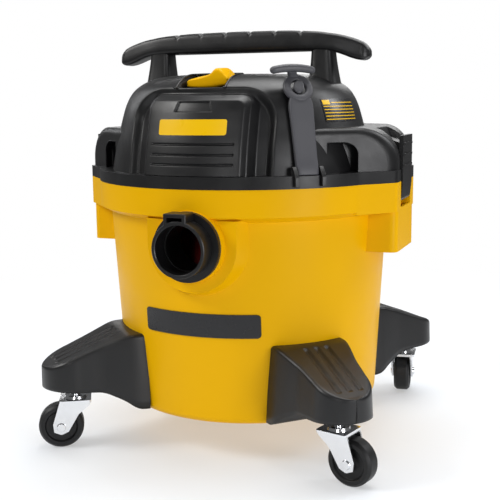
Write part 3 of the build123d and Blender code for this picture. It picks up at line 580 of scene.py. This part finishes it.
def shoulderOutline():
    # along the flat top, round the quarter circle and down the outer face, and the way inwards at each point
    s = shoulderSettings
    centreX, centreZ = s["arcCentre"]
    turn = np.linspace(math.pi / 2, 0, s["arcSteps"])
    flat, foot = s["flatSteps"], s["footSteps"]
    x = np.concatenate([np.linspace(s["flatFrom"], centreX, flat + 1)[:-1],
                        centreX + s["arcRadius"] * np.cos(turn), np.full(foot, s["outerX"])])
    z = np.concatenate([np.full(flat, centreZ + s["arcRadius"]), centreZ + s["arcRadius"] * np.sin(turn),
                        np.linspace(centreZ, s["foot"], foot + 1)[1:]])
    inwardX = np.concatenate([np.zeros(flat), -np.cos(turn), np.full(foot, -1.0)])
    inwardZ = np.concatenate([np.full(flat, -1.0), -np.sin(turn), np.zeros(foot)])
    return x[:, None], z[:, None], inwardX[:, None], inwardZ[:, None]


def makeShoulder(side):
    # the outline carried across Y between two slanting ends, its long edges rolled over;
    # the middle is cut back to the latch slot's ramp
    s = shoulderSettings
    outlineX, outlineZ, inwardX, inwardZ = shoulderOutline()
    roll = np.radians(np.linspace(0, 90, s["edgeSteps"]))
    middle = np.concatenate([np.linspace(0, s["slotInner"], s["slotSteps"]),
                             s["slotHalf"] + np.array(s["slotEdge"])])
    share = np.linspace(0, 1, s["spreadSteps"])[1:-1]
    inset = np.concatenate([np.zeros(len(middle) + len(share)), s["edgeRadius"] * (1 - np.cos(roll))])
    x = outlineX + inwardX * inset
    z = outlineZ + inwardZ * inset
    rolled = shoulderHalf(x[:, -len(roll):]) - s["edgeRadius"] * (1 - np.sin(roll))
    spread = middle[-1] + (rolled[:, :1] - middle[-1]) * share
    y = np.concatenate([np.repeat(middle[None, :], len(outlineX), axis=0), spread, rolled], axis=1)
    inSlot = smoothStep(s["slotHalf"] - y, -s["slotSoftness"], s["slotSoftness"])
    limit = slotLimit(z)
    x = np.where(x > limit, x + (limit - x) * inSlot, x)
    top = np.stack([x * side, y, z], axis=-1)
    both = np.concatenate([(top * np.array([1, -1, 1]))[:, ::-1][:, :-1], top], axis=1)
    name = "latchShoulderRight" if side > 0 else "latchShoulderLeft"
    finishAs(gridPiece(name, both), "black_plastic", "powerhead")
    for end in (-1, 1):
        makeShoulderEnd(name, side, end)


def makeShoulderEnd(name, side, end):
    # upright slanting face under the rolled edge: columns run along it, rows up to the drawn-in outline,
    # with a round-cornered window pushed in
    s = shoulderSettings
    inset = s["edgeRadius"]
    u = np.linspace(s["flatFrom"], s["outerX"] - inset, s["endColumns"])
    v = np.linspace(0, 1, s["endRows"])
    x = np.repeat(u[None, :], len(v), axis=0)
    z = s["foot"] + v[:, None] * (shoulderTop(u, inset) - s["foot"])
    low, high, floor, ceiling = s["window"]
    reach = roundedBoxDistance(np.maximum(x - low, 0), z, high - low, ceiling, s["windowCorner"])
    reach = np.maximum(reach, np.maximum(low - x, floor - z))
    y = shoulderHalf(x) - s["windowDepth"] * smoothStep(-reach, *s["windowSoftness"])
    face = gridPiece(name + ("Back" if end > 0 else "Front"), np.stack([x * side, y * end, z], axis=-1))
    lookAlong(face, (s["flare"] * side, end, 0.0))
    finishAs(face, "black_plastic", "powerhead")


# front panel: a plate on the dome with a sloping flank, three slots and a sunk trapezoid

panelSettings = {
    "proud": 0.0044,
    "foot": 0.3138,
    "rows": 190,
    "columns": 150,
    "crowding": 0.25,  # share of the columns that crowd towards the edges
    "sideGap": 0.0004,
    "topGap": 0.0001,
    "sunkRim": 0.0008,
    "edgeRoll": 0.0040,
    "crease": 0.0009,
    "slotHeights": (0.3250, 0.3350, 0.3455),
    "slotHalf": (0.0460, 0.0012),
    "slotDepth": 0.0022,
    "slotSoftness": (-0.0003, 0.0005),
    "trapezoid": (0.0210, 0.0170, 0.3785, 0.3890),  # half width low and high, low, high
    "trapezoidDepth": 0.0024,
    "trapezoidSoftness": (-0.0004, 0.0006),
}


def domePoint(x, z, proud):
    radius = domeRadius(z) + proud
    return np.stack([x, domeSettings["axisY"] - np.sqrt(np.maximum(radius**2 - x**2, 0)), z], axis=-1)


def makeFrontPanel():
    # heights run up the panel and widths across it, out to the arch; the plate's height over the dome is a
    # straight flank and a flat face, joined by a soft minimum of the two, and it drops in the slots
    s = panelSettings
    arch = domeSettings["archInner"]
    top = arch[2] - s["topGap"]
    v = np.linspace(0, 1, s["rows"])
    z = s["foot"] + (top - s["foot"]) * v
    over = np.clip((z - (top - arch[3])) / arch[3], 0, 1)
    limit = archHalfWidth(z, arch) - s["sideGap"] - arch[3] * (1 - np.sqrt(1 - over**2))
    u = (np.sin(np.linspace(-math.pi / 2, math.pi / 2, s["columns"])) * s["crowding"]
         + np.linspace(-1, 1, s["columns"]) * (1 - s["crowding"]))
    x = limit[:, None] * u
    z = np.repeat(z[:, None], len(u), axis=1)
    fromEdge = -roundedBoxDistance(x, z, archHalfWidth(z, arch) - s["sideGap"], top, arch[3])
    gap = s["proud"] - (fromEdge / s["edgeRoll"] * (s["proud"] + s["sunkRim"]) - s["sunkRim"])
    proud = s["proud"] - 0.5 * (gap + np.sqrt(gap**2 + s["crease"] ** 2)) + 0.5 * s["crease"]
    for height in s["slotHeights"]:
        inSlot = np.minimum(s["slotHalf"][0] - np.abs(x), s["slotHalf"][1] - np.abs(z - height))
        proud = proud - s["slotDepth"] * smoothStep(inSlot, *s["slotSoftness"])
    halfLow, halfHigh, low, high = s["trapezoid"]
    half = halfLow + (halfHigh - halfLow) * (z - low) / (high - low)
    inTrapezoid = np.minimum(half - np.abs(x), np.minimum(z - low, high - z))
    proud = proud - s["trapezoidDepth"] * smoothStep(inTrapezoid, *s["trapezoidSoftness"])
    finishAs(gridPiece("frontPanel", domePoint(x, z, proud)), "black_plastic", "powerhead", "front_panel")


# feet: a tapering, round-nosed arm with three long grooves

footSettings = {
    "from": 0.146,
    "nose": 0.257,
    "noseRadius": 0.033,
    "armSteps": 46,
    "noseSteps": 26,
    "narrowest": 0.015,
    "topLine": [(0.146, 0.132), (0.166, 0.1315), (0.196, 0.121), (0.236, 0.1062), (0.250, 0.1005),
                (0.257, 0.0975)],
    "lowLine": [(0.146, 0.046), (0.160, 0.047), (0.174, 0.058), (0.196, 0.069), (0.228, 0.071),
                (0.257, 0.0735)],
    "halfLine": [(0.146, 0.0475), (0.160, 0.0475), (0.178, 0.0425), (0.196, 0.0370), (0.225, 0.0330),
                 (0.257, 0.0330)],
    "draft": 0.05,
    "edge": 0.0045,
    "edgeShare": 0.6,  # the edge's radius is at most this share of the half width
    "wallSteps": 10,
    "edgeSteps": 8,
    "topSteps": 61,
    "grooves": (-0.0125, 0.0, 0.0125),
    "grooveRun": (0.170, 0.243),
    "grooveHalf": 0.0026,
    "grooveDepth": 0.0022,
    "grooveSoftness": (-0.0006, 0.0009),
    "topBand": 0.001,
}


def makeFoot(corner, angle):
    # cross-sections are stations along the arm: wall up, rounded edge, grooved top, and back down;
    # towards the nose each station narrows as a half circle
    s = footSettings
    noseFrom = s["nose"] - s["noseRadius"]
    nose = noseFrom + s["noseRadius"] * np.sin(np.linspace(0, math.pi / 2, s["noseSteps"]))[1:]
    stations = np.concatenate([np.linspace(s["from"], noseFrom, s["armSteps"]), nose])
    past = np.clip((stations - noseFrom) / s["noseRadius"], 0, 1)
    narrow = np.sqrt(np.maximum(1 - past**2, 0))
    half = (curveThrough(s["halfLine"], stations) * np.maximum(narrow, s["narrowest"]))[:, None]
    top = curveThrough(s["topLine"], stations)[:, None]
    low = curveThrough(s["lowLine"], stations)[:, None]
    edge = np.minimum(s["edge"], half * s["edgeShare"])
    wall = np.linspace(0, 1, s["wallSteps"])
    bend = np.radians(np.linspace(0, 90, s["edgeSteps"])[1:])
    acrossTop = np.linspace(0, 1, s["topSteps"])[1:-1]
    lean = s["draft"] * (top - low)
    flatHalf = half - lean - edge
    left = np.stack([lean * wall - half, low + (top - edge - low) * wall], axis=-1)
    turnLeft = np.stack([-flatHalf - edge * np.cos(bend), (top - edge) + edge * np.sin(bend)], axis=-1)
    flat = np.stack([-flatHalf + 2 * flatHalf * acrossTop, np.repeat(top, len(acrossTop), axis=1)], axis=-1)
    mirror = np.array([-1, 1])
    section = [left, turnLeft, flat, turnLeft[:, ::-1] * mirror, left[:, ::-1] * mirror]
    section = np.concatenate(section, axis=1)
    w, z = section[..., 0], section[..., 1]
    t = np.repeat(stations[:, None], w.shape[1], axis=1)
    run = np.minimum(t - s["grooveRun"][0], s["grooveRun"][1] - t)
    for place in s["grooves"]:
        inGroove = np.minimum(s["grooveHalf"] - np.abs(w - place), run)
        z = z - s["grooveDepth"] * smoothStep(inGroove, *s["grooveSoftness"]) * (z > top - s["topBand"])
    turn = math.radians(angle)
    along, across = np.array([math.cos(turn), math.sin(turn)]), np.array([-math.sin(turn), math.cos(turn)])
    xy = t[..., None] * along + w[..., None] * across
    points = np.concatenate([xy, z[..., None]], axis=-1)
    foot = gridPiece("foot" + corner, points, closeAcross=True, capEnd=True)
    finishAs(foot, "black_plastic", "drum", "foot_" + corner)


# carry handle: a drooping bar with grip notches on two posts

handleSettings = {
    "y": -0.022,
    "half": 0.1535,
    "steps": 361,
    "sides": 72,
    "power": 0.36,
    "topLine": [(0, 0.4670), (0.060, 0.4664), (0.095, 0.4642), (0.120, 0.4602), (0.138, 0.4548),
                (0.148, 0.4498), (0.1535, 0.4450)],
    "lowLine": [(0, 0.4430), (0.090, 0.4430), (0.110, 0.4420), (0.122, 0.4385), (0.134, 0.4335),
                (0.144, 0.4312), (0.1535, 0.4318)],
    "halfDepth": 0.0150,
    "endRun": 0.010,
    "endFloor": 0.0006,
    "taper": 0.18,  # how much less deep the bar is at its ends
    "taperRun": (0.10, 0.15),
    "crease": 0.05,
    "creaseRun": (-0.12, 0.0),
    "slant": 0.12,
    "notches": (-0.075, -0.045, -0.015, 0.015, 0.045, 0.075),
    "notchDepth": 0.0022,
    "notchHalf": 0.0024,
    "notchRun": (0.3, 0.9),
    "postX": 0.0990,
    "postSplay": 0.002,
    "postTop": (0.0118, 0.0130, 0.4520),  # half width, half depth, height
    "postLow": (0.0175, 0.0205, 0.3990),
    "postRows": 24,
    "postSides": 64,
    "postPower": 0.5,
    "postFlare": 1.5,
}


def makeHandle():
    # a rounded oblong section carried along X between the top and low lines; its ends close in a half round
    s = handleSettings
    x = s["half"] * np.linspace(-1, 1, s["steps"])
    reach = np.abs(x)
    top = curveThrough(s["topLine"], reach)
    low = curveThrough(s["lowLine"], reach)
    endRun = np.clip((reach - (s["half"] - s["endRun"])) / s["endRun"], 0, 1)
    closing = np.sqrt(np.maximum(1 - endRun**2, s["endFloor"]))
    middle, halfHeight = 0.5 * (top + low), 0.5 * (top - low) * closing
    halfDepth = s["halfDepth"] * (1 - s["taper"] * smoothStep(reach, *s["taperRun"])) * closing
    oblongY, oblongZ = superRound(roundAngles(s["sides"]), s["power"])
    crease = 1 - s["crease"] * smoothStep(oblongZ, *s["creaseRun"]) - s["slant"] * np.clip(oblongZ, 0, 1)
    y = s["y"] + halfDepth[:, None] * oblongY * crease
    z = middle[:, None] + halfHeight[:, None] * oblongZ
    for place in s["notches"]:
        depth = np.clip(1 - np.abs(x - place) / s["notchHalf"], 0, 1) * s["notchDepth"]
        z = z - depth[:, None] * smoothStep(oblongZ, *s["notchRun"])
    xs = np.repeat(x[:, None], s["sides"], axis=1)
    points = np.stack([xs, y, z], axis=-1)
    bar = gridPiece("carryHandleBar", points, closeAcross=True, capStart=True, capEnd=True)
    finishAs(bar, "black_plastic", "powerhead", "carry_handle")
    for side in (-1, 1):
        makeHandlePost(side)


def makeHandlePost(side):
    # a rounded oblong that widens downwards into the dome
    s = handleSettings
    v = np.linspace(0, 1, s["postRows"])[:, None]
    oblongX, oblongY = superRound(roundAngles(s["postSides"]), s["postPower"])
    spread = v ** s["postFlare"]
    halfX = s["postTop"][0] + (s["postLow"][0] - s["postTop"][0]) * spread
    halfY = s["postTop"][1] + (s["postLow"][1] - s["postTop"][1]) * spread
    x = side * (s["postX"] + s["postSplay"] * spread + halfX * oblongX)
    y = s["y"] + halfY * oblongY
    z = s["postTop"][2] + (s["postLow"][2] - s["postTop"][2]) * v + 0 * x
    name = "handlePostRight" if side > 0 else "handlePostLeft"
    post = gridPiece(name, np.stack([x, y, z], axis=-1), closeAcross=True)
    finishAs(post, "black_plastic", "powerhead")


# rocker switch, and the bead round its pocket

rockerSettings = {
    "half": 0.0245,
    "topLine": [  # x and height along the back edge of the finger ramp
        (-0.0245, 0.4140), (-0.0215, 0.4160), (-0.0150, 0.4171), (-0.0080, 0.4184), (0.0000, 0.4207),
        (0.0050, 0.4228), (0.0085, 0.4246), (0.0130, 0.4247), (0.0165, 0.4224), (0.0205, 0.4176),
        (0.0245, 0.4130),
    ],
    "lowLine": [
        (-0.0245, 0.4040), (-0.0120, 0.4030), (0.0000, 0.4028), (0.0080, 0.4032), (0.0160, 0.4044),
        (0.0245, 0.4066),
    ],
    "front": -0.1213,
    "back": -0.0895,
    "frontDrop": (0.0042, 0.0010),  # how far the front edge lies below the back one, on ramp and hump
    "dropFull": 0.009,  # where the rocker is thinner than this, the drop is less
    "hump": (0.0020, 0.0095),
    "steps": 90,
    "crowding": 0.25,
    "smoothing": 5,
    "sides": 80,
    "power": 0.30,
    "edge": 0.0022,
    "edgeClosing": 0.35,
}


def makeRocker():
    # sections across X between the low and top lines, a rounded oblong in Y and Z; the top leans forward,
    # and both ends draw in
    s = rockerSettings
    t = np.linspace(-1, 1, s["steps"])
    x = s["half"] * (np.sin(t * math.pi / 2) * s["crowding"] + t * (1 - s["crowding"]))
    top = np.interp(x, *np.array(s["topLine"]).T)
    padded = np.pad(top, s["smoothing"] // 2, mode="edge")
    top = np.convolve(padded, np.ones(s["smoothing"]) / s["smoothing"], mode="valid")
    low = np.interp(x, *np.array(s["lowLine"]).T)
    across, up = superRound(roundAngles(s["sides"]), s["power"])
    end = np.clip((np.abs(x) - (s["half"] - s["edge"])) / s["edge"], 0, 1)
    closing = 1 - s["edgeClosing"] * (1 - np.sqrt(np.maximum(1 - end**2, 0)))
    centreY, halfY = 0.5 * (s["front"] + s["back"]), 0.5 * (s["back"] - s["front"])
    y = centreY + halfY * closing[:, None] * across
    ramp, hump = s["frontDrop"]
    drop = (ramp + (hump - ramp) * smoothStep(x, *s["hump"])) * np.clip((top - low) / s["dropFull"], 0, 1)
    lean = drop[:, None] * 0.5 * (1 - across) * np.clip(up, 0, 1)
    middle, half = 0.5 * (top + low)[:, None], 0.5 * (top - low)[:, None] * closing[:, None]
    z = middle + half * up - lean
    xs = np.repeat(x[:, None], s["sides"], axis=1)
    points = np.stack([xs, y, z], axis=-1)
    paddle = gridPiece("rockerPaddle", points, closeAcross=True, capStart=True, capEnd=True)
    finishAs(paddle, "yellow_plastic", "rocker", "rocker_switch")


rimSettings = {
    "radius": 0.0011,
    "margin": 0.0004,
    "lift": 0.0002,
    "frontReach": 0.1228,  # from the dome's axis
    "corner": 0.004,
    "cornerSteps": 10,
    "sideSteps": 26,
    "backSteps": 30,
}


def makePocketRim():
    # a thin round bead along the pocket's outline, where its walls meet the dome
    s = rimSettings
    half, back = domeSettings["pocketHalf"] + s["margin"], domeSettings["pocketBack"] + s["margin"]
    frontY = domeSettings["axisY"] - s["frontReach"]
    corner = s["corner"]
    arc = np.radians(np.linspace(0, 90, s["cornerSteps"]))
    leftX = np.concatenate([np.full(s["sideSteps"], -half), -half + corner * (1 - np.cos(arc))])
    leftY = np.concatenate([np.linspace(frontY, back - corner, s["sideSteps"] + 1)[:-1],
                            back - corner + corner * np.sin(arc)])
    topX = np.linspace(-half + corner, half - corner, s["backSteps"])[1:-1]
    pathX = np.concatenate([leftX, topX, -leftX[::-1]])
    pathY = np.concatenate([leftY, np.full(len(topX), back), leftY[::-1]])
    pathZ = np.maximum(domeHeight(pathX, pathY), domeSettings["pocketFloor"]) + s["lift"]
    rim = tubeAlong("pocketRim", np.stack([pathX, pathY, pathZ], axis=-1), s["radius"])
    finishAs(rim, "black_plastic", "powerhead", "switch_frame")


def tubeAlong(name, path, radius, flat=1.0, power=1.0, sides=14):
    # a round or oblong section carried along a path; the section's first side lies level
    ahead = np.gradient(path, axis=0)
    ahead /= np.linalg.norm(ahead, axis=1)[:, None]
    level = np.cross(ahead, upwards)
    level /= np.maximum(np.linalg.norm(level, axis=1), 1e-9)[:, None]
    up = np.cross(level, ahead)
    c, v = superRound(roundAngles(sides), power)
    radius = np.broadcast_to(radius, (len(path),))[:, None, None]
    points = path[:, None] + radius * (c[:, None] * level[:, None] + flat * v[:, None] * up[:, None])
    return gridPiece(name, points, closeAcross=True, capStart=True, capEnd=True)


# rubber strap: a flat body up the dome, a ring over the peg, a neck and a pull

strapSettings = {
    "heading": -48.5,
    "body": [  # distance from the drum's axis, height, half width, half thickness
        (0.1716, 0.3135, 0.0118, 0.0044), (0.1710, 0.3190, 0.0119, 0.0044), (0.1686, 0.3270, 0.0120, 0.0034),
        (0.1654, 0.3400, 0.0123, 0.0029), (0.1618, 0.3550, 0.0126, 0.0028), (0.1583, 0.3690, 0.0130, 0.0028),
        (0.1553, 0.3800, 0.0135, 0.0029), (0.1536, 0.3870, 0.0132, 0.0030), (0.1520, 0.3930, 0.0104, 0.0030),
    ],
    "bodySteps": 70,
    "meanReach": 4,
    "bandSides": 48,
    "bandPower": 0.34,
    "ringCentre": (0.1470, 0.4015),
    "ringTilt": 32.0,
    "ringRadius": 0.0122,
    "ringWidth": 0.0040,
    "ringThick": 0.0031,
    "ringSteps": (72, 24),
    "ringPower": 0.7,
    "neck": [(0.1398, 0.4128, 0.0064, 0.0034), (0.1408, 0.4165, 0.0050, 0.0036),
             (0.1435, 0.4200, 0.0052, 0.0038), (0.1450, 0.4225, 0.0060, 0.0036)],
    "neckSteps": 24,
    "neckPower": 0.6,
    "lean": (-0.0052, 0.409, 0.421),  # shift across, between these heights
    "pullHalf": 0.0250,
    "pullHeight": 0.4222,
    "pullDistance": 0.1460,
    "pullRadius": 0.0043,
    "pullSteps": 60,
    "pullSag": 0.0030,
    "pullSwell": 0.12,
    "pullSection": (0.86, 0.8, 28),  # flatness, power and sides
    "pullEnd": 0.82,  # the ends close in from here
    "pullTip": 0.002,
    "pegHead": (0.0056, 0.0082),  # half width and half height
    "pegLean": -18,
    "pegSides": 48,
    "pegOut": (-0.0140, -0.0020, 0.0010, 0.0018, 0.0034, 0.0042, 0.0048, 0.0050),
    "pegGrow": (0.80, 0.74, 0.72, 0.96, 1.0, 0.97, 0.85, 0.55),
}


def strapAxes():
    turn = math.radians(strapSettings["heading"])
    return np.array([math.cos(turn), math.sin(turn), 0.0]), np.array([-math.sin(turn), math.cos(turn), 0.0])


def strapLean(height):
    shift, low, high = strapSettings["lean"]
    return shift * smoothStep(height, low, high)


def smoothRows(rows, count):
    # rows of numbers along a path, respaced evenly and rounded off by a running mean
    rows = np.array(rows)
    along = np.concatenate([[0], np.cumsum(np.linalg.norm(np.diff(rows[:, :2], axis=0), axis=1))])
    at = np.linspace(0, along[-1], count)
    fine = np.stack([np.interp(at, along, column) for column in rows.T], axis=1)
    reach = strapSettings["meanReach"]
    mean = np.ones(2 * reach + 1) / (2 * reach + 1)
    padded = np.pad(fine, ((reach, reach), (0, 0)), mode="reflect", reflect_type="odd")
    return np.stack([np.convolve(column, mean, mode="valid") for column in padded.T], axis=1)


def bandAlong(name, rows, count, power):
    # a flat rubber band: distance and height give its line, and a rounded oblong stands across it
    outward, across = strapAxes()
    line = smoothRows(rows, count)
    slope = np.gradient(line[:, :2], axis=0)
    slope /= np.linalg.norm(slope, axis=1)[:, None]
    c, v = superRound(roundAngles(strapSettings["bandSides"]), power)
    wide = line[:, 2:3] * c + strapLean(line[:, 1:2])
    thick = line[:, 3:4] * v
    distance = line[:, 0:1] + slope[:, 1:2] * thick
    height = line[:, 1:2] - slope[:, 0:1] * thick
    points = distance[..., None] * outward + wide[..., None] * across + height[..., None] * upwards
    return gridPiece(name, points, closeAcross=True, capStart=True, capEnd=True)


def makeStrap():
    s = strapSettings
    outward, across = strapAxes()
    body = bandAlong("strapBody", s["body"], s["bodySteps"], s["bandPower"])
    finishAs(body, "grey_rubber", "strap", "rubber_strap")
    finishAs(bandAlong("strapNeck", s["neck"], s["neckSteps"], s["neckPower"]), "grey_rubber", "strap")
    tilt = math.radians(s["ringTilt"])
    up = -math.sin(tilt) * outward + math.cos(tilt) * upwards
    out = math.cos(tilt) * outward + math.sin(tilt) * upwards
    centre = s["ringCentre"][0] * outward + s["ringCentre"][1] * upwards
    # ring: an oblong section turned about the peg's line
    turn, a = np.meshgrid(roundAngles(s["ringSteps"][0]), roundAngles(s["ringSteps"][1]), indexing="ij")
    c, v = superRound(a, s["ringPower"])
    radius = s["ringRadius"] + s["ringWidth"] * c
    points = (centre + (radius * np.cos(turn))[..., None] * across + (radius * np.sin(turn))[..., None] * up
              + (s["ringThick"] * v)[..., None] * out)
    finishAs(gridPiece("strapRing", points, closeAlong=True, closeAcross=True), "grey_rubber", "strap")
    # pull: a bar across the strap's top, arched a little and round at both ends
    t = np.sin(np.linspace(-math.pi / 2, math.pi / 2, s["pullSteps"]))
    end = np.clip((np.abs(t) - s["pullEnd"]) / (1 - s["pullEnd"]), 0, 1)
    path = (s["pullDistance"] * outward + (t * s["pullHalf"] + s["lean"][0])[:, None] * across
            + (s["pullHeight"] - s["pullSag"] * t**2)[:, None] * upwards)
    thick = (s["pullRadius"] * np.sqrt(np.maximum(1 - end**2, s["pullTip"]))
             * (1 + s["pullSwell"] * (1 - t**2)))
    finishAs(tubeAlong("strapPull", path, thick, *s["pullSection"]), "grey_rubber", "strap")
    # peg: a stem out of the dome with an oval head, which stays on the cover
    a = roundAngles(s["pegSides"])
    lean = math.radians(s["pegLean"])
    headX, headY = s["pegHead"][0] * np.cos(a), s["pegHead"][1] * np.sin(a)
    turnedX = headX * math.cos(lean) - headY * math.sin(lean)
    turnedY = headX * math.sin(lean) + headY * math.cos(lean)
    grow = np.array(s["pegGrow"])[:, None]
    points = (centre + np.array(s["pegOut"])[:, None, None] * out + (grow * turnedX)[..., None] * across
              + (grow * turnedY)[..., None] * up)
    finishAs(gridPiece("strapPeg", points, closeAcross=True, capEnd=True), "grey_rubber", "powerhead")


# the label on the dome, with no lettering: plain bars and a block on a dark ground

labelSettings = {
    "heading": 73.0,  # degrees round the dome from the front
    "half": 0.0300,
    "low": 0.3665,
    "high": 0.3905,
    "bars": (0.3865, 0.3826, 0.3792, 0.3758, 0.3724, 0.3690),
    "barHalf": 0.00045,
    "margin": 0.0015,
    "firstBarFrom": 0.0145,  # the first bar starts beside the block
    "block": (0.3845, 0.3892, 0.0125),  # low, high, and where it ends
    "groundLift": 0.0004,
    "printLift": 0.0006,
    "patchRows": 16,
    "patchColumns": 40,
    "aimUp": 0.3,
}


def domePatch(name, low, high, left, right, proud):
    # a sheet that follows the dome: widths are arc lengths either side of the label's heading
    s = labelSettings
    z, w = np.meshgrid(np.linspace(low, high, s["patchRows"]), np.linspace(left, right, s["patchColumns"]),
                       indexing="ij")
    turn = math.radians(s["heading"])
    radius = domeRadius(z) + proud
    a = turn + w / radius
    points = np.stack([radius * np.sin(a), domeSettings["axisY"] - radius * np.cos(a), z], axis=-1)
    patch = gridPiece(name, points)
    lookAlong(patch, (math.sin(turn), -math.cos(turn), s["aimUp"]))
    return patch


def makeLabel():
    s = labelSettings
    half, barHalf, lift = s["half"], s["barHalf"], s["printLift"]
    ground = domePatch("labelGround", s["low"], s["high"], -half, half, s["groundLift"])
    finishAs(ground, "badge_black", "powerhead", "cover_label")
    for k, height in enumerate(s["bars"]):
        left = -half + (s["firstBarFrom"] if k == 0 else s["margin"])
        bar = domePatch(f"labelBar{k}", height - barHalf, height + barHalf, left, half - s["margin"], lift)
        finishAs(bar, "badge_yellow", "powerhead")
    low, high, blockEnd = s["block"]
    block = domePatch("labelBlock", low, high, -half + s["margin"], -half + blockEnd, lift)
    finishAs(block, "badge_yellow", "powerhead")


makeFloor()
makeLights()
makeWorld()
dressNodes()
print("frame dressed")
makeDome()
for side in (-1, 1):
    makeShoulder(side)
makeFrontPanel()
print("cover built")
for corner, angle in zip(corners, cornerAngles):
    makeFoot(corner, angle)
makeHandle()
print("feet and handle built")
makeRocker()
makePocketRim()
makeStrap()
makeLabel()
print("rocker, strap and label built")
